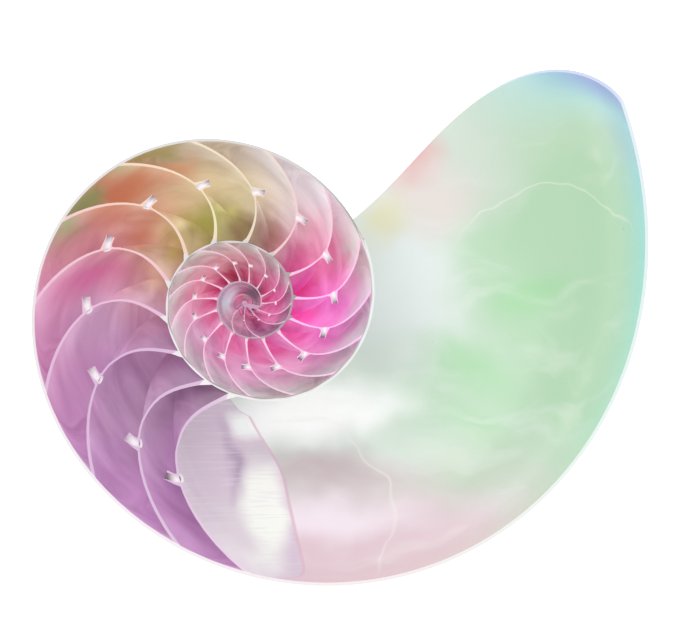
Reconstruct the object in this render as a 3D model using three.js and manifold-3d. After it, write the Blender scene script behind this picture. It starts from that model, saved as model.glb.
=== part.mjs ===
// One half of a chambered nautilus shell, sawn along its plane of symmetry and polished to the pearl.
// Millimetres and degrees. The shell is worked out lying in its own coil frame: the coil axis is Z,
// the sawn face is the plane z = 0, and the flank bulges down to negative z. A growth angle of 0 points
// along +X, one whorl before the mouth, and the shell grows counter-clockwise as seen from above.
// At the end the whole coil is tipped into the pose in which it lies at rest on its rounded flank.
import * as THREE from "three";
import { mergeVertices } from "three/addons/utils/BufferGeometryUtils.js";
import Module from "manifold-3d";

const wasm = await Module();
wasm.setup();

// ---------------------------------------------------------------- driving dimensions

// The keel line, where the sawn face meets the outside of the shell.
const KEEL_RADIUS = 32.6; // at growth angle 0
const GROWTH_PER_TURN = 0.958; // natural logarithm of the whorl expansion
const GROWTH_SLOWING = 0.036; // the expansion falls a little with every turn
const COIL_SWAY = { amount: 0.0227, toward: 92 }; // once-a-turn leaning of the coil
const COIL_SQUASH = { amount: 0.04, toward: 150 }; // twice-a-turn flattening of the coil
const BODY_FLARE = { amount: 0.0443, from: 163, softness: 40 }; // the living chamber opens faster

// The whorl's outline in a half-plane through the coil axis, as fractions of the keel radius.
const SHOULDER_RHO = 0.42; // distance from the axis at which the flank is deepest
const FLANK_DEPTH = 0.355; // half the shell's breadth
const NAVEL_RHO = 0.1; // the flank ends on the rim of the navel
const NAVEL_DEPTH = 0.2;
const SHOULDER_AT = 0.6; // share of the outline, from keel to navel, that lies outside the shoulder

// Mouth of the shell: the growth angle of its edge along the outline.
const MOUTH_AT_KEEL = 388;
const MOUTH_AT_FLANK = 401.8;
const MOUTH_AT_NAVEL = 398.7;
const MOUTH_FURTHEST_AT = 0.45; // place on the outline where the mouth's edge reaches furthest forward

const WALL = { thickness: 0.85, atRadius: 60, power: 0.6, least: 0.42, most: 0.95 };
const SEPTUM_TO_WALL = 0.78; // a septum is thinner than the outer wall
const DORSAL_COAT_TO_WALL = 0.3; // pearl laid over the whorl inside

// Septa. Angles are growth angles of each septum's belly on the sawn face, from the last one inwards.
const LAST_SEPTUM = 244.5;
const CHAMBER_SPANS = [
  16.2, 24.5, 24.3, 23.5, 22.2, 23.5, 26, 26.7, 26.5, 25.5, 23.8, 21.7, 22, 24, 25, 25, 26, 22.6, 22.8,
  20.3, 25.2, 22.7, 29.3, 29.1, 23.7, 26, 25.3, 43, 43,
];
const FIRST_CHAMBER_SPAN = 180;
const FIRST_SHELL = { closedAt: -725, openAt: -780, left: 0.35, core: 1.1 }; // wound round a small core
const SEPTUM_BELLY_AT = 0.45; // where the belly lies, from the whorl inside (0) to the keel (1)
const KEEL_SWEEP = 24.2; // how far the keel end of a septum runs ahead of its belly
const KEEL_SWEEP_DIP = { amount: -3.2, at: 122, width: 28 }; // a few septa were set less slanting
const KEEL_SWEEP_LAST = { amount: 1.8, at: 238, width: 32 }; // and the last few more
const BOWL_BULGE = 1.5; // the bowl is rounder between its belly and the whorl inside
const SUTURE_SADDLE = 10; // the suture runs forward on the flank,
const SUTURE_LOBE = 30; // and far back round the shoulder towards the navel
const POCKET = 30; // beside the whorl inside, the bowl sinks back into a pocket

// The siphon's necks, one on each septum.
const NECK = { radius: 1.25, boreShare: 0.58, length: 3.3, atRadius: 63, power: 0.5 };
const SMALLEST_NECK_AT = -130; // further in they are finer than half a millimetre, and are left out
const NECK_LEAN = 10; // degrees that a neck points further inwards than the chambers run
// Place of the siphon across the whorl: near the middle in the small whorls, then slowly outwards.
const SIPHON = { across: 0.455, drift: 0.18, from: -300, to: 250, power: 2.2 };

const PLUG = { radius: 13, depth: 14.5 }; // pearl callus that closes the navel

// Pose at rest on the flank: the sawn face tips by REST_TIP about a level line at REST_TIP_LINE.
const REST_TIP = 13.86;
const REST_TIP_LINE = -48.3;

// How finely the blocks are cut into facets.
const LIFT = 3; // height of the cutting blocks above the sawn face
const ROWS = 7; // from the sawn face down the flank
const COLUMNS = 5; // from the whorl inside to the outer wall
const CHAMBER_DEEPEST = 0.88; // share of the outline, from keel to navel, that the chambers reach

// ---------------------------------------------------------------- the form of the shell

const rad = THREE.MathUtils.degToRad;
const lerp = THREE.MathUtils.lerp;

// Distance of the keel from the coil axis: a logarithmic spiral that sways, and flares at the end.
function keelRadius(g) {
  const turns = g / 360;
  const flare = BODY_FLARE.amount * Math.log1p(Math.exp((g - BODY_FLARE.from) / BODY_FLARE.softness));
  return (
    KEEL_RADIUS *
    Math.exp(
      GROWTH_PER_TURN * turns -
        GROWTH_SLOWING * turns * turns +
        COIL_SWAY.amount * Math.cos(rad(g - COIL_SWAY.toward)) +
        COIL_SQUASH.amount * Math.cos(rad(2 * (g - COIL_SQUASH.toward))) +
        flare,
    )
  );
}

// Two quarter ellipses, keel to shoulder and shoulder to navel, and the outward normal there.
function outline(s) {
  if (s < SHOULDER_AT) {
    const a = (s / SHOULDER_AT) * (Math.PI / 2);
    const width = 1 - SHOULDER_RHO;
    return {
      rho: SHOULDER_RHO + width * Math.cos(a),
      depth: FLANK_DEPTH * Math.sin(a),
      normal: new THREE.Vector2(Math.cos(a) / width, Math.sin(a) / FLANK_DEPTH).normalize(),
    };
  }
  const b = ((s - SHOULDER_AT) / (1 - SHOULDER_AT)) * (Math.PI / 2);
  const width = SHOULDER_RHO - NAVEL_RHO;
  const drop = FLANK_DEPTH - NAVEL_DEPTH;
  return {
    rho: SHOULDER_RHO - width * Math.sin(b),
    depth: NAVEL_DEPTH + drop * Math.cos(b),
    normal: new THREE.Vector2(-Math.sin(b) / width, Math.cos(b) / drop).normalize(),
  };
}

// A place on the outline at growth angle g, moved outwards by offset: distance from axis, and depth.
function onWhorl(g, s, offset) {
  const o = outline(s);
  const r = keelRadius(g);
  return [r * o.rho + offset * o.normal.x, r * o.depth + offset * o.normal.y];
}

function wallThickness(g) {
  const grown = WALL.thickness * (keelRadius(g) / WALL.atRadius) ** WALL.power;
  return THREE.MathUtils.clamp(grown, WALL.least, WALL.most);
}

// A place inside the living space: s along the outline, t from the whorl inside (0) to the wall (1).
function across(g, s, t) {
  const [rhoOut, depthOut] = onWhorl(g, s, -wallThickness(g));
  const [rhoIn, depthIn] = onWhorl(g - 360, s, DORSAL_COAT_TO_WALL * wallThickness(g));
  const { closedAt, openAt, left, core } = FIRST_SHELL;
  const share = lerp(left, 1, THREE.MathUtils.smoothstep(g - 360, openAt, closedAt));
  return [lerp(Math.max(rhoIn * share, core), rhoOut, t), lerp(depthIn * share, depthOut, t)];
}

function place(g, rho, depth) {
  return new THREE.Vector3(rho * Math.cos(rad(g)), rho * Math.sin(rad(g)), -depth);
}

// How far ahead of its belly a septum is, in degrees of growth.
function septumLead(g, s, t) {
  const hump = ({ amount, at, width }) => amount * Math.exp(-(((g - at) / width) ** 2));
  const dorsal = 0.4 + 0.045 * g + 0.00009 * g * g;
  const keel = KEEL_SWEEP + hump(KEEL_SWEEP_DIP) + hump(KEEL_SWEEP_LAST);
  const b = SEPTUM_BELLY_AT;
  const inner = Math.max(0, (b - t) / b);
  const outer = Math.max(0, (t - b) / (1 - b));
  const sawnLine =
    dorsal * inner ** 2.6 - 4 * BOWL_BULGE * inner * (1 - inner) + keel * outer ** 1.5;
  const saddle = SUTURE_SADDLE * Math.tanh(s / 0.07);
  const lobe = SUTURE_LOBE * THREE.MathUtils.smoothstep(s, 0.44, 0.78);
  const pocket = POCKET * Math.sin((Math.PI * Math.min(s, 0.45)) / 0.9);
  return sawnLine + t * t * (saddle - lobe) - (1 - t) ** 1.8 * pocket;
}

// Half of a septum's thickness, turned into degrees of growth, so that a slanting septum keeps it.
function septumHalfAngle(g, s, t) {
  const step = 0.02;
  const here = across(g, s, t);
  const along = across(g, s + step, t);
  const outward = across(g, s, t + (t > 0.5 ? -step : step));
  const slopeS = rad(septumLead(g, s + step, t) - septumLead(g, s, t));
  const slopeT = rad(septumLead(g, s, t + (t > 0.5 ? -step : step)) - septumLead(g, s, t));
  const spanS = Math.hypot(along[0] - here[0], along[1] - here[1]);
  const spanT = Math.hypot(outward[0] - here[0], outward[1] - here[1]);
  const turnPerMm = Math.hypot(1 / here[0], slopeS / spanS, slopeT / spanT);
  return THREE.MathUtils.radToDeg((wallThickness(g) * SEPTUM_TO_WALL * turnPerMm) / 2);
}

// Growth angle of a septum's face: side +1 is the hollow face towards the mouth, -1 the domed one.
const septumFace = (g, side, s, t) => g + septumLead(g, s, t) + side * septumHalfAngle(g, s, t);

function mouthEdge(s) {
  const advance = Math.sin((Math.min(1, s / MOUTH_FURTHEST_AT) * Math.PI) / 2) ** 1.3;
  const retreat = THREE.MathUtils.smoothstep(s, MOUTH_FURTHEST_AT, 0.68);
  return (
    lerp(MOUTH_AT_KEEL, MOUTH_AT_FLANK, advance) - (MOUTH_AT_FLANK - MOUTH_AT_NAVEL) * retreat
  );
}

// ---------------------------------------------------------------- solids

function asSolid(geometry) {
  geometry.deleteAttribute("normal");
  geometry.deleteAttribute("uv");
  const merged = mergeVertices(geometry, 1e-4);
  return new wasm.Manifold(
    new wasm.Mesh({
      numProp: 3,
      vertProperties: merged.attributes.position.array,
      triVerts: new Uint32Array(merged.index.array),
    }),
  );
}

// A closed block from a function of three whole-number steps: its six faces are grids of quads.
function block(at, [ni, nj, nk]) {
  const positions = [];
  const quad = (...corners) => {
    const [a, b, c, d] = corners.map((p) => at(...p));
    positions.push(...a, ...c, ...b, ...a, ...d, ...c);
  };
  const grid = (nu, nv, corner) => {
    for (let u = 0; u < nu; u++)
      for (let v = 0; v < nv; v++)
        quad(corner(u, v), corner(u + 1, v), corner(u + 1, v + 1), corner(u, v + 1));
  };
  grid(nj, ni, (j, i) => [i, j, 0]);
  grid(ni, nj, (i, j) => [i, j, nk]);
  grid(ni, nk, (i, k) => [i, 0, k]);
  grid(nk, ni, (k, i) => [i, nj, k]);
  grid(nk, nj, (k, j) => [0, j, k]);
  grid(nj, nk, (j, k) => [ni, j, k]);
  const geometry = new THREE.BufferGeometry();
  geometry.setAttribute("position", new THREE.Float32BufferAttribute(positions, 3));
  const solid = asSolid(geometry);
  if (solid.volume() < 0) throw new Error("a block is inside out");
  return solid;
}

// Part of the last whorl as a full solid, between two growth angles, out to the mouth's edge.
function whorlSolid(from, to, steps) {
  const alongOutline = 12;
  const warpFrom = 340;
  const at = (i, j, k) => {
    const s = j / alongOutline;
    const level = lerp(from, to, i / steps);
    const warp = THREE.MathUtils.smoothstep(level, warpFrom, MOUTH_AT_FLANK);
    const g = level + warp * (mouthEdge(s) - MOUTH_AT_FLANK);
    const [rho, depth] = onWhorl(g, s, 0);
    if (k === 1) return place(g, rho, depth);
    return place(g, keelRadius(g) * NAVEL_RHO, keelRadius(g) * NAVEL_DEPTH * s);
  };
  return block(at, [steps, alongOutline, 1]);
}

// The callus that closes the navel: a pillar with a domed foot, turned about the coil axis.
function plugSolid() {
  const foot = [];
  const steps = 5;
  for (let i = 0; i <= steps; i++) {
    const a = (i / steps) * (Math.PI / 2);
    foot.push(new THREE.Vector2(PLUG.radius * Math.sin(a), -PLUG.depth * (0.8 + 0.2 * Math.cos(a))));
  }
  const profile = [...foot, new THREE.Vector2(PLUG.radius, 0), new THREE.Vector2(0, 0)];
  const turned = new THREE.LatheGeometry(profile, 24);
  turned.rotateX(Math.PI / 2);
  return asSolid(turned);
}

// The space of one chamber, or of the living chamber, as a block to cut out. Its flat facets would
// bite into the whorl inside, so they stand off by the height of their arcs.
function chamberSolid(back, front, alongG) {
  const standOff = 1.01 / Math.cos(rad((front(0, 0) - back(0, 0)) / alongG / 2));
  const at = (i, j, k) => {
    const s = Math.max(0, (i - 1) / (ROWS - 1)) * CHAMBER_DEEPEST;
    const t = j / COLUMNS;
    const g = lerp(back(s, t), front(s, t), k / alongG);
    const [rho, depth] = across(g, s, t);
    const clear = lerp(standOff, 1, t);
    return place(g, rho * clear, i === 0 ? -LIFT : depth * clear);
  };
  return block(at, [ROWS, COLUMNS, alongG]);
}

// Where the siphon passes a septum: a point on the sawn face and the way back towards the first chamber.
function siphonPlace(g) {
  const share = Math.max(0, (g - SIPHON.from) / (SIPHON.to - SIPHON.from));
  const t = SIPHON.across + SIPHON.drift * share ** SIPHON.power;
  const through = g + septumLead(g, 0, t);
  const step = 2;
  const here = place(through, across(through, 0, t)[0], 0);
  const behind = place(through - step, across(through - step, 0, t)[0], 0);
  const size = (across(through, 0, t)[0] / (NECK.atRadius * 0.75)) ** NECK.power;
  const back = behind.sub(here).normalize();
  back.applyAxisAngle(new THREE.Vector3(0, 0, 1), rad(NECK_LEAN));
  return { here, back, size };
}

function rod(start, end, radius) {
  const length = start.distanceTo(end);
  const sides = 8;
  const turn = Math.PI / sides; // no edge of the rod lies in the sawn face
  const geometry = new THREE.CylinderGeometry(radius, radius, length, sides, 1, false, turn);
  const up = new THREE.Vector3(0, 1, 0);
  geometry.applyQuaternion(
    new THREE.Quaternion().setFromUnitVectors(up, end.clone().sub(start).normalize()),
  );
  const middle = start.clone().add(end).multiplyScalar(0.5);
  geometry.translate(middle.x, middle.y, middle.z);
  return asSolid(geometry);
}

// ---------------------------------------------------------------- building the half shell

const septa = [LAST_SEPTUM];
for (const span of CHAMBER_SPANS) septa.push(septa.at(-1) - span);

function cutChambers(solid) {
  const cutters = [];
  const pastMouth = 432;
  const insideLast = (s, t) => septumFace(septa[0], 1, s, t);
  cutters.push(chamberSolid(insideLast, () => pastMouth, 16));
  septa.slice(1).forEach((older, i) => {
    const newer = septa[i];
    cutters.push(
      chamberSolid(
        (s, t) => septumFace(older, 1, s, t),
        (s, t) => septumFace(newer, -1, s, t),
        newer - older > 40 ? 3 : 2,
      ),
    );
  });
  const first = septa.at(-1);
  const apex = () => first - FIRST_CHAMBER_SPAN;
  cutters.push(chamberSolid(apex, (s, t) => septumFace(first, -1, s, t), 5));
  return solid.subtract(wasm.Manifold.union(cutters));
}

function addNecks(solid) {
  const necks = [];
  const bores = [];
  for (const g of septa.filter((septum) => septum > SMALLEST_NECK_AT)) {
    const { here, back, size } = siphonPlace(g);
    const radius = NECK.radius * size;
    const tip = here.clone().addScaledVector(back, NECK.length * size);
    necks.push(rod(here, tip, radius));
    bores.push(
      rod(
        here.clone().addScaledVector(back, -1.6 * size),
        here.clone().addScaledVector(back, (NECK.length + 1) * size),
        radius * NECK.boreShare,
      ),
    );
  }
  const above = new THREE.BoxGeometry(400, 400, 50);
  above.translate(0, 0, 25);
  const halfNecks = wasm.Manifold.union(necks).subtract(asSolid(above));
  return solid.add(halfNecks).subtract(wasm.Manifold.union(bores));
}

function shellSolid() {
  const seam = 222;
  const hiddenEnd = MOUTH_AT_KEEL - 360 - 4;
  const outside = whorlSolid(hiddenEnd, seam, 26)
    .add(whorlSolid(seam, MOUTH_AT_FLANK, 25))
    .add(plugSolid());
  return addNecks(cutChambers(outside));
}

// The biggest of the bodies that a solid falls into, as three.js geometry.
function geometryOf(solid) {
  const bodies = solid.decompose().sort((a, b) => b.volume() - a.volume());
  const { vertProperties, triVerts } = bodies[0].getMesh();
  const geometry = new THREE.BufferGeometry();
  geometry.setAttribute("position", new THREE.Float32BufferAttribute(vertProperties, 3));
  geometry.setIndex(new THREE.BufferAttribute(triVerts, 1));
  geometry.computeVertexNormals();
  return geometry;
}

const pearl = new THREE.MeshStandardMaterial({ color: 0xe9dfe4, roughness: 0.3, metalness: 0.05 });

const halfShell = new THREE.Mesh(geometryOf(shellSolid()), pearl);
halfShell.name = "shell_half";

const coil = new THREE.Group();
coil.add(halfShell);
const tipLine = new THREE.Vector3(Math.cos(rad(REST_TIP_LINE)), Math.sin(rad(REST_TIP_LINE)), 0);
coil.quaternion.setFromAxisAngle(tipLine, rad(REST_TIP));

// The origin is the centre of the box round the shell, at the level that it rests on.
const bounds = new THREE.Box3().setFromObject(coil, true);
const middle = bounds.getCenter(new THREE.Vector3());
coil.position.set(-middle.x, -middle.y, -bounds.min.z);

const root = new THREE.Group();
root.add(coil);
export default root;
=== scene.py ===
# %% [markdown]
# # Half a nautilus shell
#
# A nautilus shell is a tube that coils in one plane and opens out as it grows. The animal lived in the
# last, open room and walled off the rooms behind it with curved septa, each with a short neck for its
# siphon. Here the shell has been sawn along its plane of symmetry and lies on its rounded flank, with
# the sawn face up. The whole shell is one grown piece, so it is one mesh; the finishes tell its parts
# apart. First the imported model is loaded, which fixes the place and the size of everything.

# %% Load the fixed frame
import math

import bmesh
import bpy
import numpy as np
from mathutils import Matrix, Vector


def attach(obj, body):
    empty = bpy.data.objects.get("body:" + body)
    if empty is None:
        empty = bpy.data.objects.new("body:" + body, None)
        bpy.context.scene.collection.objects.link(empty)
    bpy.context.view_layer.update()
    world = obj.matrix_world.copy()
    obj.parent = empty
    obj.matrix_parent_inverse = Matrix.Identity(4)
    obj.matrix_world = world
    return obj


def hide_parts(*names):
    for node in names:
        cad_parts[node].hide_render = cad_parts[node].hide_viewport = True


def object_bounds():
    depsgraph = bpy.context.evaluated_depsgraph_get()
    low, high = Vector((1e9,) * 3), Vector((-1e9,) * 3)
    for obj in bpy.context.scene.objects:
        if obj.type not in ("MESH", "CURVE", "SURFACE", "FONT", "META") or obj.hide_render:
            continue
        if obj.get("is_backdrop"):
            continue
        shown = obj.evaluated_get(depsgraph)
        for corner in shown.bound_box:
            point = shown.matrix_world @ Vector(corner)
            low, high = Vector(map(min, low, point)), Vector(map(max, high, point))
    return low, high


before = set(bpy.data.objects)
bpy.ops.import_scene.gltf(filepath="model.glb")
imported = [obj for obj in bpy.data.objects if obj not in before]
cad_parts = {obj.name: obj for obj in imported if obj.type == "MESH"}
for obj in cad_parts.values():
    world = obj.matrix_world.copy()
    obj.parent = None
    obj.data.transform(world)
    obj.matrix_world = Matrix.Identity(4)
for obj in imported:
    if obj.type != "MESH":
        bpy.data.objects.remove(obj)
cad_low, cad_high = (np.array(corner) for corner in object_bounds())
print("CAD box in mm:", np.round(cad_low * 1000, 2), np.round(cad_high * 1000, 2))

# %% [markdown]
# ## The keel spiral
#
# The outer edge of the sawn face is the keel line. A shell grows by a constant share of its size, which
# gives a logarithmic spiral; a real one also sways and flattens a little, and its living room flares.
# Everything below is measured in the coil's own frame: millimetres, the coil axis along z, the sawn
# face at z = 0 and the flank below it. The growth angle counts whole turns, so one number says how far
# along the tube a place lies.

# %% Distance of the keel from the coil axis
KEEL_RADIUS = 32.6  # mm, at growth angle 0
GROWTH_PER_TURN, GROWTH_SLOWING = 0.958, 0.036
SWAY, SWAY_TOWARD = 0.0227, 92
SQUASH, SQUASH_TOWARD = 0.04, 150
FLARE, FLARE_FROM, FLARE_SOFTNESS = 0.0443, 163, 40


def keel_radius(growth):
    """Radius times e to the power of: growth per turn, less slowing times turns squared, plus a
    once-a-turn sway, a twice-a-turn squash and a soft ramp that flares the living room."""
    turns = growth / 360
    sway = SWAY * np.cos(np.radians(growth - SWAY_TOWARD))
    squash = SQUASH * np.cos(np.radians(2 * (growth - SQUASH_TOWARD)))
    flare = FLARE * np.logaddexp(0, (growth - FLARE_FROM) / FLARE_SOFTNESS)
    return KEEL_RADIUS * np.exp(
        GROWTH_PER_TURN * turns - GROWTH_SLOWING * turns**2 + sway + squash + flare
    )


print("keel radius after each turn, mm:", np.round(keel_radius(np.arange(-720, 400, 360.0)), 1))

# %% [markdown]
# ## The outline of the tube
#
# Cut by a half-plane through the axis, the tube is a rounded bulge: a quarter ellipse from the keel
# down to the shoulder, and a second one from the shoulder up to the navel. One number, `around`, runs
# along it from the keel (0) to the navel (1).

# %% Outline, wall and the space inside
SHOULDER_OUT, FLANK_DEPTH = 0.42, 0.355
NAVEL_OUT, NAVEL_DEPTH = 0.1, 0.2
SHOULDER_AT = 0.6


def outline(around):
    """Distance from the axis and depth as shares of the keel radius, and the outward normal: cosine
    and sine of a quarter turn scaled to each quarter ellipse."""
    first = np.clip(around / SHOULDER_AT, 0, 1) * np.pi / 2
    second = np.clip((around - SHOULDER_AT) / (1 - SHOULDER_AT), 0, 1) * np.pi / 2
    width, drop = SHOULDER_OUT - NAVEL_OUT, FLANK_DEPTH - NAVEL_DEPTH
    outside = around < SHOULDER_AT
    out = np.where(
        outside, SHOULDER_OUT + (1 - SHOULDER_OUT) * np.cos(first), SHOULDER_OUT - width * np.sin(second)
    )
    depth = np.where(outside, FLANK_DEPTH * np.sin(first), NAVEL_DEPTH + drop * np.cos(second))
    normal_out = np.where(outside, np.cos(first) / (1 - SHOULDER_OUT), -np.sin(second) / width)
    normal_down = np.where(outside, np.sin(first) / FLANK_DEPTH, np.cos(second) / drop)
    length = np.hypot(normal_out, normal_down)
    return out, depth, normal_out / length, normal_down / length


def on_tube(growth, around, offset):
    """Outline times keel radius, moved along the normal by the offset."""
    out, depth, normal_out, normal_down = outline(around)
    radius = keel_radius(growth)
    return radius * out + offset * normal_out, radius * depth + offset * normal_down


def wall(growth):
    """Wall thickness: 0.85 mm at 60 mm radius, growing with the 0.75th power of the radius."""
    return np.clip(0.85 * (keel_radius(growth) / 60) ** 0.75, 0.2, 0.95)


def smooth(value, low, high):
    """Share of the way from low to high, clamped, times itself squared times three less twice it."""
    share = np.clip((value - low) / (high - low), 0, 1)
    return share * share * (3 - 2 * share)


def inside(growth, around, across):
    """A place in the tube's room: a straight mix, by `across`, of the whorl inside (0) and the wall (1).
    The very first whorl winds round a small core, so the room narrows to nothing there."""
    out_1, depth_1 = on_tube(growth, around, -wall(growth))
    out_0, depth_0 = on_tube(growth - 360, around, 0.3 * wall(growth))
    share = 0.35 + 0.65 * smooth(growth - 360, -780, -725)
    out_0, depth_0 = np.maximum(out_0 * share, 0.6), depth_0 * share
    return out_0 + (out_1 - out_0) * across, depth_0 + (depth_1 - depth_0) * across


def in_coil(growth, out, depth):
    """Cylinder coordinates to x, y, z: the growth angle turns the distance from the axis."""
    angle = np.radians(growth)
    return np.stack(np.broadcast_arrays(out * np.cos(angle), out * np.sin(angle), -depth), axis=-1)


print("wall in mm at growth 0 and 360:", np.round(wall(np.array([0.0, 360.0])), 2))

# %% [markdown]
# ## The septa
#
# Each septum is a bowl that hangs across the tube with its hollow side towards the mouth. On the sawn
# face it shows as a curve: from the whorl inside it sinks back to its belly and then sweeps forward to
# the keel. On the flank its edge, the suture, makes a saddle and a lobe. The whole bowl is one number,
# the lead: how many degrees of growth a place on the septum lies ahead of the belly.

# %% Where the septa stand, and their bowl
LAST_SEPTUM = 244.5
CHAMBER_SPANS = [
    16.2, 24.5, 24.3, 23.5, 22.2, 23.5, 26, 26.7, 26.5, 25.5, 23.8, 21.7, 22, 24, 25, 25, 26, 22.6, 22.8,
    20.3, 25.2, 22.7, 29.3, 29.1, 23.7, 26, 25.3, 43, 43,
]
SEPTA = LAST_SEPTUM - np.concatenate([[0], np.cumsum(CHAMBER_SPANS)])
BELLY = 0.45  # share of the way across the tube
SADDLE, LOBE, POCKET = 10, 30, 30  # degrees of lead
SEPTUM_OF_WALL = 0.62  # a septum's thickness over the wall's


def hump(growth, amount, at, width):
    """Amount times e to the minus square of the distance over the width."""
    return amount * np.exp(-(((growth - at) / width) ** 2))


def lead(growth, around, across):
    """Dorsal rise and keel sweep as powers of the distance from the belly, less a rounder bulge
    between belly and inner whorl; the suture's saddle less its lobe grows with `across` squared,
    and the pocket beside the inner whorl fades away from it."""
    dorsal = 0.4 + 0.045 * growth + 0.00009 * growth**2
    keel = 24.2 + hump(growth, -3.2, 122, 28) + hump(growth, 1.8, 238, 32)
    inner = np.maximum(0, (BELLY - across) / BELLY)
    outer = np.maximum(0, (across - BELLY) / (1 - BELLY))
    sawn_line = dorsal * inner**2.6 - 6 * inner * (1 - inner) + keel * outer**1.5
    saddle = SADDLE * np.tanh(around / 0.07)
    lobe = LOBE * smooth(around, 0.44, 0.78)
    pocket = POCKET * np.sin(np.pi * np.minimum(around, 0.45) / 0.9)
    return sawn_line + across**2 * (saddle - lobe) - np.maximum(1 - across, 0) ** 1.8 * pocket


def septum_face(growth, side, around, across):
    """The septum's place, half its thickness to one side, in degrees of growth. A slanting sheet needs
    more degrees for the same thickness, by the length of its slope. On the hollow side a fillet that
    fades within two millimetres joins it to the whorl inside."""
    step = 0.02
    back = np.where(across > 0.5, -step, step)
    here, here_depth = inside(growth, around, across)
    centre = lead(growth, around, across)
    turn_per_mm = 1 / here**2
    for beside in [(around + step, across), (around, across + back)]:
        out, depth = inside(growth, *beside)
        slope = np.radians(lead(growth, *beside) - centre) / np.hypot(out - here, depth - here_depth)
        turn_per_mm = turn_per_mm + slope**2
    half = np.degrees(wall(growth) * SEPTUM_OF_WALL * np.sqrt(turn_per_mm)) / 2
    height = inside(growth, around, 1)[0] - inside(growth, around, 0)[0]
    fillet_mm = 0.025 * height
    fillet = np.degrees(fillet_mm / here) * np.exp(-across * height / fillet_mm)
    return growth + centre + side * half + (fillet if side > 0 else 0)


print(len(SEPTA), "septa, the first grown at", SEPTA[-1], "degrees")

# %% [markdown]
# ## Closed blocks from a lattice
#
# The shell is made as the real one was: a solid coil, hollowed out room by room, then sawn. A Boolean
# needs closed bodies, so each one is a block: a lattice of three whole-number steps, of which only the
# six faces are kept, with every lattice point turned into a place by one of the formulas above.

# %% A block's faces, and a mesh object from arrays


def block(at, counts):
    """The six sides of a lattice as quads. Corners that share a lattice point share a vertex; the
    winding is turned over if the signed volume comes out negative."""
    quads = []
    for axis in range(3):
        p, q = (axis + 1) % 3, (axis + 2) % 3
        u, v = np.meshgrid(np.arange(counts[p]), np.arange(counts[q]), indexing="ij")
        for end in (0, counts[axis]):
            corner = np.zeros((*u.shape, 4, 3), int)
            corner[..., axis] = end
            corner[..., p] = u[..., None] + [0, 1, 1, 0]
            corner[..., q] = v[..., None] + [0, 0, 1, 1]
            quads.append((corner if end else corner[..., ::-1, :]).reshape(-1, 3))
    points, faces = np.unique(np.concatenate(quads), axis=0, return_inverse=True)
    places, faces = at(*points.T), faces.reshape(-1, 4)
    a, b, c, d = (places[faces[:, n]] for n in range(4))
    volume = np.einsum("ij,ij->", a, np.cross(b, c)) + np.einsum("ij,ij->", a, np.cross(c, d))
    return places, faces if volume > 0 else faces[:, ::-1]


def joined(blocks):
    """Blocks one after the other, with each one's vertex numbers moved past the last's."""
    starts = np.cumsum([0] + [len(places) for places, _ in blocks])
    return (
        np.concatenate([places for places, _ in blocks]),
        np.concatenate([faces + start for (_, faces), start in zip(blocks, starts)]),
    )


FINISHES = [
    bpy.data.materials.new(name)
    for name in (
        "nacre_grown_smooth",
        "aragonite_sawn_and_polished",
        "nacre_outside_polished",
        "nacre_thin_neck",
        "nacre_inside_neck",
    )
]
ROOM_PEARL, SAWN_EDGE, OUTER_PEARL, NECK_PEARL, BORE_PEARL = range(5)


def mesh_object(name, places, faces, finish):
    """A new object that holds these vertices and faces. Its faces take the numbered slot of their
    finish, and a Boolean carries that number over to the faces that it leaves."""
    mesh = bpy.data.meshes.new(name)
    mesh.from_pydata(places, [], faces)
    for material in FINISHES:
        mesh.materials.append(material)
    mesh.polygons.foreach_set("material_index", np.full(len(mesh.polygons), finish, np.int32))
    made = bpy.data.objects.new(name, mesh)
    bpy.context.scene.collection.objects.link(made)
    return made


# %% [markdown]
# ## The solid coil
#
# Only the last whorl is seen from outside, so the solid is one turn of the tube, closed to the axis,
# with a plug of callus in the navel. It stands a few millimetres above the cutting plane, ready to be
# sawn. Its mouth edge runs forward on the flank, as the animal's mantle laid it down.

# %% The last whorl and the callus
MOUTH_AT_KEEL, MOUTH_AT_FLANK, MOUTH_AT_NAVEL = 388, 401.8, 398.7
ABOVE_SAW = 3.0


def mouth_edge(around):
    """Growth angle of the mouth's edge: rises as a sine to the 1.3th power, then falls back a little."""
    advance = np.sin(np.minimum(1, around / 0.45) * np.pi / 2) ** 1.3
    rise = (MOUTH_AT_FLANK - MOUTH_AT_KEEL) * advance
    return MOUTH_AT_KEEL + rise - (MOUTH_AT_FLANK - MOUTH_AT_NAVEL) * smooth(around, 0.45, 0.68)


def whorl_block(start, end, steps, rows=48):
    """Outline rows below the saw and one row lifted above it; the inner side of the block stands near
    the axis. Close to the mouth, growth is pulled back to the mouth's edge."""

    def at(row, inward, step):
        around = np.maximum(0, (row - 1) / rows)
        level = start + (end - start) * step / steps
        growth = level + smooth(level, 340, MOUTH_AT_FLANK) * (mouth_edge(around) - MOUTH_AT_FLANK)
        out, depth = on_tube(growth, around, 0)
        axis_depth = keel_radius(growth) * NAVEL_DEPTH * around
        out = np.where(inward == 1, keel_radius(growth) * NAVEL_OUT, out)
        depth = np.where(inward == 1, axis_depth, depth)
        return in_coil(growth, out, np.where(row == 0, -ABOVE_SAW, depth))

    return block(at, (rows + 1, 1, steps))


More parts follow.
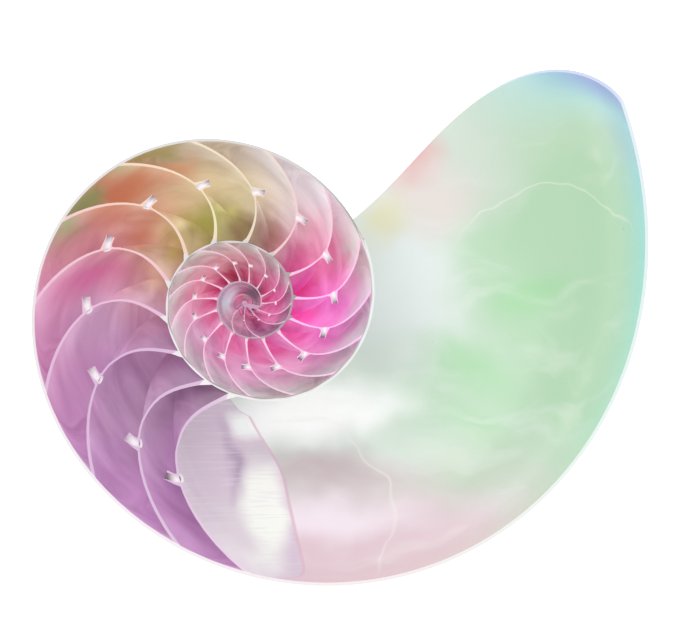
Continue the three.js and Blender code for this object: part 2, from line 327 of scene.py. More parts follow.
def callus_block(radius=13, depth=14.5, rings=8, sides=48):
    """A round pillar: the square lattice is bent to a disc by its larger coordinate, and its foot is
    domed by a quarter of a sine."""

    def at(i, j, k):
        x, y = 2 * i / sides - 1, 2 * j / sides - 1
        reach = np.maximum(abs(x), abs(y))
        angle = np.arctan2(y, x)
        foot = depth * (0.8 + 0.2 * np.cos(reach * np.pi / 2))
        z = ABOVE_SAW - (ABOVE_SAW + foot) * k / rings
        return np.stack([radius * reach * np.cos(angle), radius * reach * np.sin(angle), z], axis=-1)

    return block(at, (sides, sides, rings))


SEAM = 222.0
outside = mesh_object("coil_solid", *whorl_block(MOUTH_AT_KEEL - 364, SEAM, 100), OUTER_PEARL)
outer_half = mesh_object("coil_solid_mouth", *whorl_block(SEAM, MOUTH_AT_FLANK, 90), OUTER_PEARL)
callus = mesh_object("callus", *callus_block(), OUTER_PEARL)
print("coil solid:", len(outside.data.polygons) + len(outer_half.data.polygons), "quads")

# %% [markdown]
# ## The rooms
#
# A room is the space between the hollow face of one septum and the domed face of the next. Each is a
# block whose lattice runs down the flank, across the tube and along the growth. The living room is
# the last one, open past the mouth; the first shell is one long room behind the first septum.

# %% Cutting blocks for every room
ROOM_DEEPEST = 0.88  # share of the outline, from keel to navel, that a room reaches
PAST_MOUTH = 432.0  # growth angle at which the living room's block ends, out in the air
FIRST_ROOM_SPAN = 235  # degrees


def room_block(back, front, rows, columns, steps):
    """Growth is a straight mix of the two septum faces; the first row stands above the saw."""

    def at(row, column, step):
        around = np.maximum(0, (row - 1) / rows) * ROOM_DEEPEST
        across = column / columns
        growth = back(around, across) + (front(around, across) - back(around, across)) * step / steps
        out, depth = inside(growth, around, across)
        return in_coil(growth, out, np.where(row == 0, -ABOVE_SAW, depth))

    return block(at, (rows + 1, columns, steps))


def room_fineness(growth):
    """Rows, columns and steps: fewer in the small inner whorls."""
    return (24, 20, 6) if growth > 0 else (18, 16, 5) if growth > -300 else (12, 12, 4)


rooms = [
    room_block(
        lambda around, across: septum_face(SEPTA[0], 1, around, across),
        lambda around, across: np.full_like(around, PAST_MOUTH),
        44, 24, 96,
    )
]
for newer, older in zip(SEPTA, SEPTA[1:]):
    rooms.append(
        room_block(
            lambda around, across: septum_face(older, 1, around, across),
            lambda around, across: septum_face(newer, -1, around, across),
            *room_fineness(newer),
        )
    )
rooms.append(
    room_block(
        lambda around, across: np.full_like(around, SEPTA[-1] - FIRST_ROOM_SPAN),
        lambda around, across: septum_face(SEPTA[-1], -1, around, across),
        12, 12, 24,
    )
)
rooms = mesh_object("rooms", *joined(rooms), ROOM_PEARL)
print("rooms:", len(SEPTA) + 1, "blocks,", len(rooms.data.polygons), "quads")

# %% [markdown]
# ## The necks of the siphon
#
# A thin living cord, the siphon, ran through every septum. Round it the pearl grew into a short tube
# that points back to the room before. Sawn through the middle, each neck is a small trough with thin
# walls and a flared foot. It is a ring carried along a short bent path: at the foot the ring lies flat
# on the septum, at the tip it faces along the siphon.

# %% Neck tubes and their bores


def siphon_across(growth):
    """Place of the siphon across the tube: 0.455, moving outwards as the shell grows."""
    return 0.455 + 0.18 * np.maximum(0, (growth + 300) / 550) ** 2.2


def neck_frame(growth):
    """Middle of the neck's foot on the sawn face, the septum's normal and the siphon's way back (unit
    vectors in the plane; the way back leans 8 degrees inwards), and the neck's size, which grows with
    the square root of the radius and falls off faster under 16 mm."""
    at, lean = siphon_across(growth), math.radians(8)

    def on_line(across):
        through = growth + lead(growth, 0.0, across)
        return in_coil(through, inside(through, 0.0, across)[0], 0.0)

    through = growth + lead(growth, 0.0, at)
    foot = on_line(at)
    behind = in_coil(through - 2, inside(through - 2, 0.0, at)[0], 0.0)
    back = (behind - foot) / np.linalg.norm(behind - foot)
    back = back * math.cos(lean) + np.array([-back[1], back[0], 0.0]) * math.sin(lean)
    edge = on_line(at + 0.01) - on_line(at - 0.01)
    normal = np.array([edge[1], -edge[0], 0.0]) / np.linalg.norm(edge)
    normal *= np.sign(normal @ back)
    from_axis = np.linalg.norm(foot)
    return foot, normal, back, np.sqrt(from_axis / 47) * min(1, (from_axis / 16) ** 0.9)


def tube_block(growth, stations, sides=20):
    """Rings of given radius at given distances behind the septum. The direction turns from the
    septum's normal to the siphon's over 1.6 mm, and each centre adds the step along the mean of two
    directions."""
    foot, normal, back, size = neck_frame(growth)
    distance, radius = (np.array(column) * size for column in zip(*stations))
    turn = smooth(distance, 0.0, 1.6 * size)[:, None]
    way = normal * (1 - turn) + back * turn
    way /= np.linalg.norm(way, axis=1, keepdims=True)
    steps = np.diff(distance)[:, None] * (way[1:] + way[:-1]) / 2
    centre = foot + way[0] * distance[0] + np.concatenate([[[0, 0, 0]], np.cumsum(steps, axis=0)])
    aside = np.stack([-way[:, 1], way[:, 0], way[:, 2]], axis=-1)
    angle = (np.arange(sides) + 0.5) / sides * 2 * np.pi
    ring = aside[:, None] * np.cos(angle)[:, None] + np.array([0, 0, 1.0]) * np.sin(angle)[:, None]
    places = centre[:, None] + radius[:, None, None] * ring
    places = np.concatenate([places.reshape(-1, 3), centre[[0, -1]]])
    station, side = np.meshgrid(np.arange(len(radius) - 1), np.arange(sides), indexing="ij")
    here, after = station * sides + side, station * sides + (side + 1) % sides
    quads = np.stack([here, after, after + sides, here + sides], axis=-1).reshape(-1, 4)
    last = (len(radius) - 1) * sides
    around, following = np.arange(sides), (np.arange(sides) + 1) % sides
    caps = [
        np.stack([following, around, np.full(sides, last + sides)], axis=-1),
        np.stack([last + around, last + following, np.full(sides, last + sides + 1)], axis=-1),
    ]
    return places, quads, np.concatenate(caps)


def tubes_object(name, stations, finish):
    """All the tubes of one kind as one mesh, quads for the sides and triangles for the caps."""
    places, faces, count = [], [], 0
    for growth in SEPTA:
        points, quads, caps = tube_block(growth, stations)
        places.append(points)
        faces += (quads + count).tolist() + (caps + count).tolist()
        count += len(points)
    return mesh_object(name, np.concatenate(places), faces, finish)


NECK = [(0.0, 2.2), (0.35, 1.85), (0.7, 1.55), (1.15, 1.35), (1.8, 1.24), (2.8, 1.2), (3.8, 1.22)]
BORE = [(-1.6, 1.6), (-0.7, 1.4), (-0.2, 1.1), (0.3, 0.9), (1.0, 0.86), (4.8, 0.92)]
necks = tubes_object("necks", NECK, NECK_PEARL)
bores = tubes_object("bores", BORE, BORE_PEARL)
print("neck of the last septum, mm across:", round(2 * 1.1 * neck_frame(LAST_SEPTUM)[3], 2))

# %% [markdown]
# ## Cutting and sawing
#
# Boolean modifiers join the solid, cut the rooms, add the necks, drill them and saw everything flat
# along the plane z = 0. The Manifold solver is exact on closed bodies and keeps the quads that it does
# not touch. The result is applied, because the finishes need to read its vertices.

# %% Boolean modifiers, applied


def saw_block():
    """A plain box above the sawing plane, wider than the shell."""

    def at(i, j, k):
        return np.stack([i * 400.0 - 200, j * 400.0 - 200, k * 20.0], axis=-1)

    return block(at, (1, 1, 1))


saw = mesh_object("saw", *saw_block(), SAWN_EDGE)
for tool, operation in [
    (outer_half, "UNION"),
    (callus, "UNION"),
    (rooms, "DIFFERENCE"),
    (necks, "UNION"),
    (bores, "DIFFERENCE"),
    (saw, "DIFFERENCE"),
]:
    cut = outside.modifiers.new(tool.name, "BOOLEAN")
    cut.operation, cut.solver, cut.object = operation, "MANIFOLD", tool

evaluated = outside.evaluated_get(bpy.context.evaluated_depsgraph_get())
shell_mesh = bpy.data.meshes.new_from_object(evaluated)
for used in (outside, outer_half, callus, rooms, necks, bores, saw):
    bpy.data.objects.remove(used)
print("sawn shell:", len(shell_mesh.vertices), "vertices,", len(shell_mesh.polygons), "faces")

# %% [markdown]
# ## Where each place lies in the shell
#
# The colours of pearl follow growth, not the compass, so every vertex gets the numbers that it was
# grown with. They are worked out backwards from the place alone: first the keel radius of the tube
# whose outline would pass through it, then the whorl it belongs to, and from these the growth, the
# place across the tube, the place round the outline and the room.

# %% Vertex numbers of growth
GROWTH_START, GROWTH_SPAN = -740, 1150


def tube_through(out, depth):
    """The keel radius R of the outline through a place, from the sum that says that the place lies on
    the outer quarter ellipse, or on the inner one, whose middle has the navel's depth."""

    def root(width, height, rise):
        # (out - SHOULDER_OUT R)^2 / width^2 + (depth - rise R)^2 / height^2 = R^2: a R^2 + b R + c = 0
        a = SHOULDER_OUT**2 / width**2 + rise**2 / height**2 - 1
        b = -2 * (SHOULDER_OUT * out / width**2 + rise * depth / height**2)
        c = out**2 / width**2 + depth**2 / height**2
        under = np.sqrt(np.maximum(b * b - 4 * a * c, 0))
        return (-b - under) / (2 * a) if a < 0 else (-b + under) / (2 * a)

    outer = root(1 - SHOULDER_OUT, FLANK_DEPTH, 0.0)
    inner = root(SHOULDER_OUT - NAVEL_OUT, FLANK_DEPTH - NAVEL_DEPTH, NAVEL_DEPTH)
    return np.where(out < SHOULDER_OUT * outer, inner, outer)


def grown_numbers(places):
    """For places in the coil's frame, by name: age, the share of the growth's span; across, the place
    across the sawn tube straight above, by distance from the axis alone; wall, 1 in the first and last
    6 % of that way and 0 between; around; room, a whole number on each septum's middle and 0 on the
    last one; septum_gap, the mm along the tube from the last septum's hollow face; lip, the mm along
    the tube to the mouth's edge."""
    x, y, z = places.T
    out, depth = np.hypot(x, y), np.maximum(-z, 0)
    radius = np.maximum(tube_through(out, depth), 0.5)
    turned = np.degrees(np.arctan2(y, x))
    growth = np.where(turned < MOUTH_AT_FLANK + 4 - 360, turned + 360, turned)
    for whorl in (0, -360, -720):
        growth = np.where(radius <= keel_radius(turned + whorl) * 1.004, turned + whorl, growth)
    growth = np.maximum(growth, GROWTH_START)
    inner, outer = keel_radius(growth - 360), keel_radius(growth)
    across = np.clip((radius - inner) / (outer - inner), 0, 1)
    quarter = np.arctan2(depth / FLANK_DEPTH, (out - SHOULDER_OUT * radius) / (1 - SHOULDER_OUT))
    around = np.clip(SHOULDER_AT * np.degrees(quarter) / 90, 0, 1)
    belly = growth - lead(growth, around, across)
    for _ in range(3):
        belly = growth - lead(belly, around, across)
    room = np.interp(belly, SEPTA[::-1], -np.arange(len(SEPTA))[::-1].astype(float))
    room = np.where(belly > LAST_SEPTUM, (belly - LAST_SEPTUM) / 25, room)
    near, far = (np.hypot(*inside(growth, around, end)) for end in (0.0, 1.0))
    between_walls = np.clip((np.hypot(out, depth) - near) / (far - near), 0, 1)
    gap = growth - septum_face(LAST_SEPTUM, 1, around, between_walls)
    seen_across = (out - inner) / (outer - inner)
    return {
        "age": age(growth),
        "across": np.clip(seen_across, 0, 1),
        "wall": (np.abs(seen_across - 0.5) > 0.44).astype(float),
        "around": around,
        "room": room,
        "septum_gap": np.radians(gap) * out,
        "lip": np.radians(mouth_edge(around) - growth) * out,
    }


def age(growth):
    """Growth in degrees less its start, over its whole span."""
    return (growth - GROWTH_START) / GROWTH_SPAN


count = len(shell_mesh.vertices)
coil_places = np.empty(count * 3, np.float32)
shell_mesh.vertices.foreach_get("co", coil_places)
coil_places = coil_places.reshape(-1, 3).astype(float)
numbers = grown_numbers(coil_places)
for name, values in numbers.items():
    print(name, "from", round(values.min(), 2), "to", round(values.max(), 2))

# %% [markdown]
# ## Laying the shell down
#
# The half shell rests on its rounded flank, with the sawn face tipped a little. The coil's frame is
# turned by that tip, and the finished shell is fitted into the box of the CAD model: the same
# length along X, centred, and standing on the floor.

# %% From the coil's frame to the place at rest
REST_TIP, REST_TIP_LINE = 13.86, -48.3


def turn_about_level_line(angle, azimuth):
    """Rotation matrix about a level axis: cosine on the diagonal, the axis's outer product times one
    less cosine, and its cross matrix times sine."""
    a, line = math.radians(angle), math.radians(azimuth)
    axis = np.array([math.cos(line), math.sin(line), 0.0])
    cross = np.array([[0, 0, axis[1]], [0, 0, -axis[0]], [-axis[1], axis[0], 0]])
    return math.cos(a) * np.eye(3) + (1 - math.cos(a)) * np.outer(axis, axis) + math.sin(a) * cross


turn = turn_about_level_line(REST_TIP, REST_TIP_LINE)
tipped = coil_places @ turn.T
low, high = tipped.min(axis=0), tipped.max(axis=0)
metres_per_mm = (cad_high[0] - cad_low[0]) / (high[0] - low[0])
rest_shift = (cad_low + cad_high) / 2 - metres_per_mm * (low + high) / 2
rest_shift[2] = cad_low[2] - metres_per_mm * low[2]


def at_rest(places):
    """Places in the coil's frame, in mm, turned, scaled to metres and shifted."""
    return np.asarray(places, float) @ turn.T * metres_per_mm + rest_shift


print("metres per mm:", round(metres_per_mm, 7), "shift in mm:", np.round(rest_shift * 1000, 2))
shell_mesh.vertices.foreach_set("co", at_rest(coil_places).astype(np.float32).ravel())

# %% [markdown]
# Cutting leaves a few loose crumbs, no bigger than a grain of sand. The shell is its largest connected
# body, so every vertex gets the lowest number that it can reach, and only the commonest one is kept.

# %% Keep the largest body and store the numbers of growth
edges = np.empty(len(shell_mesh.edges) * 2, np.int32)
shell_mesh.edges.foreach_get("vertices", edges)
first_end, second_end = edges.reshape(-1, 2).T
body = np.arange(count)
while True:
    before = body.copy()
    np.minimum.at(body, first_end, body[second_end])
    np.minimum.at(body, second_end, body[first_end])
    body = body[body]
    if (body == before).all():
        break
crumbs = np.flatnonzero(body != np.bincount(body).argmax())

for name, values in numbers.items():
    grown = shell_mesh.attributes.new(name, "FLOAT", "POINT")
    grown.data.foreach_set("value", values.astype(np.float32))
in_saw_plane = shell_mesh.attributes.new("coil", "FLOAT_VECTOR", "POINT")
in_saw_plane.data.foreach_set("vector", coil_places.astype(np.float32).ravel())

cleaned = bmesh.new()
cleaned.from_mesh(shell_mesh)
cleaned.verts.ensure_lookup_table()
bmesh.ops.delete(cleaned, geom=[cleaned.verts[n] for n in crumbs], context="VERTS")
cleaned.to_mesh(shell_mesh)
cleaned.free()
shell_mesh.shade_smooth()
shell_mesh.set_sharp_from_angle(angle=math.radians(32))

half_shell = bpy.data.objects.new("half_shell", shell_mesh)
bpy.context.scene.collection.objects.link(half_shell)
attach(half_shell, "root")
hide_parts("shell_half")
print("crumbs taken away:", len(crumbs), "vertices; left:", len(shell_mesh.polygons), "faces")

# %% [markdown]
# ## Colours and nodes
#
# Colours are written as sRGB hex, the way a colour picker shows them, and turned to the linear values
# that the shader reckons with. One helper adds any node with its settings and its links; a second
# one draws the pattern that most finishes are built from, one colour that fades in over another.

# %% Helpers for colours and nodes


def linear(hex_colour):
    """Each channel over 255, then the sRGB curve undone: over 12.92 near black, else the 2.4th power."""
    channels = (int(hex_colour[n : n + 2], 16) / 255 for n in (1, 3, 5))
    return (*(c / 12.92 if c <= 0.04045 else ((c + 0.055) / 1.055) ** 2.4 for c in channels), 1.0)


def add(tree, kind, inputs=None, out=0, stops=None, **settings):
    """Adds a node and gives back its output socket. `inputs` gives each socket a value or the socket
    that feeds it; `stops` fills a ramp with (position, hex colour)."""
    made = tree.nodes.new(kind)
    for name, value in settings.items():
        setattr(made, name, value)
    for name, value in (inputs or {}).items():
        if isinstance(value, bpy.types.NodeSocket):
            tree.links.new(value, made.inputs[name])
        else:
            made.inputs[name].default_value = linear(value) if isinstance(value, str) else value
    if stops:
        ramp = made.color_ramp
        while len(ramp.elements) < len(stops):
            ramp.elements.new(1.0)
        for element, (position, colour) in zip(ramp.elements, stops):
            element.position, element.color = position, linear(colour)
    return made.outputs[out] if len(made.outputs) else None


def emptied(material):
    """The material's node tree, with nothing in it."""
    material.use_nodes = True
    material.node_tree.nodes.clear()
    return material.node_tree


def laid_over(tree, below, over, *steps, blend="MIX"):
    """A colour laid over another by the product of steps. A step is a value, where it starts from 0,
    where it is full, how strong it is there, and LINEAR if it isn't a smooth step."""
    shares = [
        add(
            tree,
            "ShaderNodeMapRange",
            {"Value": value, "From Min": low, "From Max": high, "To Max": strength},
            interpolation_type=kind[0] if kind else "SMOOTHSTEP",
        )
        for value, low, high, strength, *kind in steps
    ]
    share = shares[0]
    for other in shares[1:]:
        share = add(tree, "ShaderNodeMath", {0: share, 1: other}, operation="MULTIPLY")
    mix = {0: share, 6: below, 7: over}
    return add(tree, "ShaderNodeMix", mix, out=2, data_type="RGBA", blend_type=blend)


# %% [markdown]
# ## Pearl of the rooms
#
# Nacre is aragonite, laid down as flat tiles half a thousandth of a millimetre thick. The animal
# polished it as it grew; light that comes back from many layers makes pale colours that change slowly
# along the shell. Three ramps along the age of the shell hold them, beside the whorl inside, in the
# middle and near the keel, and a soft noise moves the borders between them so that they cloud.

# %% Nacre, grown smooth: clouded colours along growth
tree = emptied(FINISHES[ROOM_PEARL])
age_at, across_at, around_at, room_at, gap_at, lip_at = (
    add(tree, "ShaderNodeAttribute", out="Fac", attribute_name=name)
    for name in ("age", "across", "around", "room", "septum_gap", "lip")
)
coil_at = add(tree, "ShaderNodeAttribute", out="Vector", attribute_name="coil")

NEAR_COIL = [
    (-740, "#A05078"), (-660, "#5A2040"), (-600, "#903A60"), (-540, "#C89CB4"), (-480, "#BC809A"),
    (-420, "#A44870"), (-385, "#D680AC"), (-350, "#D05A90"), (-300, "#C8628A"), (-245, "#A23852"),
    (-200, "#CC4C80"), (-140, "#E490BC"), (-80, "#DE74AC"), (-40, "#E67CBC"), (-15, "#F462BA"),
    (20, "#E04CA0"), (42, "#D06C9C"), (62, "#BC868A"), (85, "#A68C70"), (110, "#B0A468"),
    (138, "#C0A878"), (160, "#CCA294"), (180, "#CC9CAC"), (200, "#B484A8"), (225, "#A67EA2"),
    (250, "#9A7896"),
]
MIDDLE = [
    (-740, "#7A4060"), (-660, "#602C48"), (-620, "#94486C"), (-580, "#B498AC"), (-545, "#B4AEBE"),
    (-500, "#B08094"), (-460, "#C48CA8"), (-425, "#90406A"), (-390, "#D880B0"), (-350, "#D068A0"),
    (-300, "#BC8498"), (-250, "#CA949E"), (-190, "#DA96AE"), (-150, "#CCA6C0"), (-120, "#CA90B4"),
    (-80, "#D0A0C0"), (-50, "#CE98B8"), (-20, "#DA80C2"), (5, "#DE7CC4"), (25, "#E080B0"),
    (45, "#D89CB2"), (65, "#D2C2C4"), (90, "#D2C4A4"), (115, "#D0BC98"), (140, "#D0A08C"),
    (160, "#C88C98"), (180, "#C8A0BC"), (205, "#B48AB0"), (228, "#B896B4"), (250, "#A070A0"),
]
NEAR_KEEL = [
    (-740, "#A8607E"), (-640, "#94586C"), (-580, "#B088A4"), (-545, "#9A8498"), (-500, "#A87C94"),
    (-450, "#9C6C8A"), (-395, "#845C7C"), (-350, "#A07890"), (-300, "#B4AAAA"), (-250, "#BAB0AA"),
    (-200, "#C2B8B6"), (-150, "#CAC0C4"), (-110, "#B4ACB2"), (-65, "#A8A4A0"), (-30, "#B4A8B0"),
    (0, "#B8A8B4"), (25, "#C2BAB8"), (50, "#D6CCD2"), (75, "#CCC6CC"), (98, "#C0B2A4"),
    (125, "#B8A88C"), (142, "#BCA088"), (158, "#C89C94"), (175, "#D29AB6"), (200, "#C088B0"),
    (225, "#BA8CB8"), (250, "#BE90BC"),
]
near_coil, middle, near_keel = (
    add(tree, "ShaderNodeValToRGB", {"Fac": age_at}, stops=[(age(at), colour) for at, colour in stops])
    for stops in (NEAR_COIL, MIDDLE, NEAR_KEEL)
)
clouds = add(
    tree, "ShaderNodeTexNoise", {"Vector": coil_at, "Scale": 0.09, "Detail": 3.0, "Distortion": 0.6}
)
clouds = add(tree, "ShaderNodeMapRange", {"Value": clouds, "To Min": -0.25, "To Max": 0.25})
moved = add(tree, "ShaderNodeMath", {0: across_at, 1: clouds}, operation="ADD")
room_colour = laid_over(tree, near_coil, middle, (moved, 0.12, 0.5, 1.0))
room_colour = laid_over(tree, room_colour, near_keel, (moved, 0.5, 0.95, 1.0))

# %% [markdown]
# Each room was lined in one go, so its pearl has folds that run out from the whorl inside, milky
# where the layers are thick. A noise that is stretched along the tube draws them. The domed back of
# the next septum fills the front of each room: a painted highlight lightens it near the keel, and
# painted shade darkens it in the pocket beside the whorl inside.

# %% Folds in the rooms, and painted highlight and shade at their fronts
in_tube = add(tree, "ShaderNodeCombineXYZ", {"X": room_at, "Y": across_at, "Z": around_at})
in_tube = add(tree, "ShaderNodeVectorMath", {0: in_tube, 1: (3.2, 2.6, 2.0)}, operation="MULTIPLY")
folds = add(tree, "ShaderNodeTexNoise", {"Vector": in_tube, "Detail": 4.0, "Distortion": 1.2, "Scale": 1.3})
folds = add(
    tree,
    "ShaderNodeMapRange",
    {"Value": folds, "From Min": 0.3, "From Max": 0.7, "To Min": 0.25, "To Max": 0.85},
)
room_colour = add(
    tree,
    "ShaderNodeMix",
    {0: 0.7, 6: room_colour, 7: folds},
    out=2,
    data_type="RGBA",
    blend_type="SOFT_LIGHT",
)
phase = add(tree, "ShaderNodeMath", {0: room_at}, operation="FRACT")
# Painted highlight: the front of each room is lightened towards the keel.
at_front, keelward = (phase, 0.5, 0.95, 0.6), (moved, 0.45, 0.7, 1.0)
room_colour = laid_over(tree, room_colour, "#EFE4EE", at_front, keelward)
# Painted shade: the front of each room is darkened towards the whorl inside.
at_front, coilward = (phase, 0.6, 0.95, 0.5), (moved, 0.5, 0.1, 1.0)
room_colour = laid_over(tree, room_colour, "#B4A0AC", at_front, coilward, blend="MULTIPLY")

# %% [markdown]
# The living room was lined last, while the animal was full-grown, and its pearl is paler: white beside
# the coil, mint towards the mouth, with a few soft blooms of other colours. Each bloom is a round
# gradient that a Mapping node places on the sawn plane, in millimetres, stretches and turns. The
# plane is warped a little first, so that no bloom has a drawn edge.

# %% Blooms of colour


def ellipse(tree, centre, reach, turned):
    """The warped plane seen from an ellipse, its centre at 0 and its rim 1 away; and how far away."""
    placed = add(
        tree,
        "ShaderNodeMapping",
        {
            "Vector": coil_warped,
            "Location": (*centre, 0.0),
            "Rotation": (0.0, 0.0, math.radians(turned)),
            "Scale": (*reach, 1e4),
        },
        vector_type="TEXTURE",
    )
    return placed, add(tree, "ShaderNodeVectorMath", {0: placed}, out="Value", operation="LENGTH")


def bloom(tree, below, colour, centre, reach, turned, strength, core):
    """A colour that fades in over another from an ellipse's rim to the share of it that is its core."""
    distance = ellipse(tree, centre, reach, turned)[1]
    return laid_over(tree, below, colour, (distance, 1.0, core, strength))


warp = add(
    tree, "ShaderNodeTexNoise", {"Vector": coil_at, "Scale": 0.05, "Detail": 2.5, "Roughness": 0.5}, out=1
)
warp = add(
    tree,
    "ShaderNodeVectorMath",
    {0: warp, 1: (16.0, 16.0, 0.0), 2: (-8.0, -8.0, 0.0)},
    operation="MULTIPLY_ADD",
)
coil_warped = add(tree, "ShaderNodeVectorMath", {0: coil_at, 1: warp}, operation="ADD")

LIVING_ROOM_BLOOMS = [  # colour, centre, reach, turned, strength, core
    ("#B3D6B3", (90, 4), (56, 84), 8, 1.0, 0.35),  # mint towards the mouth
    ("#BCD9BE", (50, -26), (36, 24), -10, 0.9, 0.1),
    ("#D6DED4", (62, 36), (22, 20), 40, 0.7, 0.0),  # grey-white on the shoulder of the mouth
    ("#9CD69C", (77, 1), (17, 9), 30, 0.7, 0.1),  # stronger green patches
    ("#A0D8A0", (58, -17), (22, 8), -28, 0.7, 0.1),
    ("#A8D8A8", (62, -33), (16, 10), -30, 0.6, 0.1),
    ("#C2D6BE", (58, -44), (32, 13), 12, 0.9, 0.1),  # grey-green below
    ("#ECF2F2", (42, 4), (22, 32), -10, 0.9, 0.1),  # cool white beside the coil
    ("#E4D5D2", (50, 27), (18, 18), 0, 0.8, 0.1),  # salmon in a paler ring
    ("#E2ACAC", (45, 37), (13, 9), 45, 0.9, 0.0),
    ("#E2DEB8", (37, 22), (14, 7), 40, 0.9, 0.0),  # yellow
    ("#E4C8D2", (24, -72), (90, 31), 8, 1.0, 0.3),  # pink along the keel below
    # Painted light: this white bloom brightens the coil's shade under the coil.
    ("#FFFFFF", (18, -29), (36, 13), 6, 1.0, 0.25),  # white under the coil
    ("#CAB8BC", (22, -46), (36, 10), 3, 0.9, 0.1),  # mauve-grey band
    ("#F8EAF4", (20, -58), (36, 9), 4, 0.9, 0.1),  # lavender-white band
]
living_colour = "#DFE6E1"
for colour, *where in LIVING_ROOM_BLOOMS:
    living_colour = bloom(tree, living_colour, colour, *where)

# %% [markdown]
# Milky wisps drift through the living room. Two fine pale lines mark where the animal's muscles and
# mantle were fastened: each is the rim of an ellipse, drawn only on the side that the scar is on.
# A few grey specks, each half a millimetre across, are grains that the pearl closed over.

# %% Wisps, scars and specks
drawn_out = add(
    tree,
    "ShaderNodeMapping",
    {"Vector": coil_warped, "Rotation": (0.0, 0.0, math.radians(30)), "Scale": (0.6, 1.8, 1.0)},
)
wisps = add(
    tree, "ShaderNodeTexNoise", {"Vector": drawn_out, "Scale": 0.06, "Detail": 5.0, "Distortion": 0.8}
)
living_colour = laid_over(tree, living_colour, "#EFF2EE", (wisps, 0.48, 0.75, 0.25))
for centre, reach, turned in [((80.5, 9.5), (23, 23), 0), ((8, -60), (29, 31), -60)]:
    placed, distance = ellipse(tree, centre, reach, turned)
    from_rim = add(tree, "ShaderNodeMath", {0: distance, 1: 1.0}, operation="SUBTRACT")
    from_rim = add(tree, "ShaderNodeMath", {0: from_rim}, operation="ABSOLUTE")
    line = (from_rim, 0.026, 0.0, 0.35)
    side = add(tree, "ShaderNodeSeparateXYZ", {0: placed}, out="Y")
    living_colour = laid_over(tree, living_colour, "#F4F2EC", line, (side, 0.25, 0.6, 1.0, "LINEAR"))
speck_distance = add(tree, "ShaderNodeTexVoronoi", {"Vector": coil_at, "Scale": 0.07}, out="Distance")
speck = (speck_distance, 0.032, 0.018, 0.5, "LINEAR")
living_colour = laid_over(tree, living_colour, "#7E9A84", speck)

# %% [markdown]
# Near the keel and along the lip of the mouth the pearl thins out and its colours run through a
# small rainbow: pink below, teal and cyan beside the mouth, violet-blue at the tip.

# %% Rim of the living room
EDGE_COLOURS = [
    (240, "#DEB8CC"), (270, "#E4C4D0"), (300, "#E4C6CC"), (316, "#DFCACA"), (328, "#CCD6C4"),
    (338, "#B8DEC4"), (352, "#AEDED0"), (364, "#9EDEDC"), (377, "#9CD8E2"), (389, "#94AADA"),
    (402, "#98A4D8"),
]
edge_colour = add(
    tree, "ShaderNodeValToRGB", {"Fac": age_at}, stops=[(age(at), colour) for at, colour in EDGE_COLOURS]
)
living_colour = laid_over(tree, living_colour, edge_colour, (around_at, 0.2, 0.0, 0.95))
for colour, width, low, high in [("#A8DEDE", 18.0, 0.46, 0.2), ("#8E9CD4", 9.0, 0.33, 0.12)]:
    on_lip, reached = (lip_at, width, 0.0, 1.0), (around_at, low, high, 0.9)
    living_colour = laid_over(tree, living_colour, colour, on_lip, reached)

# %% [markdown]
# The last septum's hollow face closes the living room off. It is lilac, with painted shade along a
# mauve fold and painted highlights: a cream-white gleam that fine lines cross and a smaller white
# spot nearer the coil. A thin pink suture runs where it meets the flank.

# %% Hollow face of the last septum
septum_colour = "#DCC6DA"
for colour, *where in [
    ("#EADCE6", (0, -62), (16, 18), 30, 0.9, 0.1),
    # Painted shade along the fold.
    ("#B69CBA", (-3, -43), (4.5, 17), 16, 0.9, 0.0),
    # Painted highlights: the cream-white gleam and the white spot nearer the coil.
    ("#FFFFFA", (5.5, -55), (8.5, 21), 8, 1.0, 0.35),
    ("#FFFFFF", (2, -31), (8, 6), -20, 1.0, 0.3),
    ("#C3AEC4", (4, -41), (8, 6), 0, 0.35, 0.1),
]:
    septum_colour = bloom(tree, septum_colour, colour, *where)
across_gleam = add(tree, "ShaderNodeMapping", {"Vector": coil_at, "Scale": (0.08, 1.5, 0.0)})
scratches = add(tree, "ShaderNodeTexNoise", {"Vector": across_gleam, "Detail": 3.0, "Scale": 1.0})
septum_colour = laid_over(tree, septum_colour, "#E9DEEA", (scratches, 0.5, 0.66, 0.4, "LINEAR"))
living_colour = laid_over(tree, living_colour, septum_colour, (gap_at, 2.2, 1.8, 1.0))
suture = add(tree, "ShaderNodeMath", {0: gap_at, 1: 2.3}, operation="SUBTRACT")
suture = add(tree, "ShaderNodeMath", {0: suture}, operation="ABSOLUTE")
living_colour = laid_over(tree, living_colour, "#DDB4C6", (suture, 0.7, 0.1, 0.7))
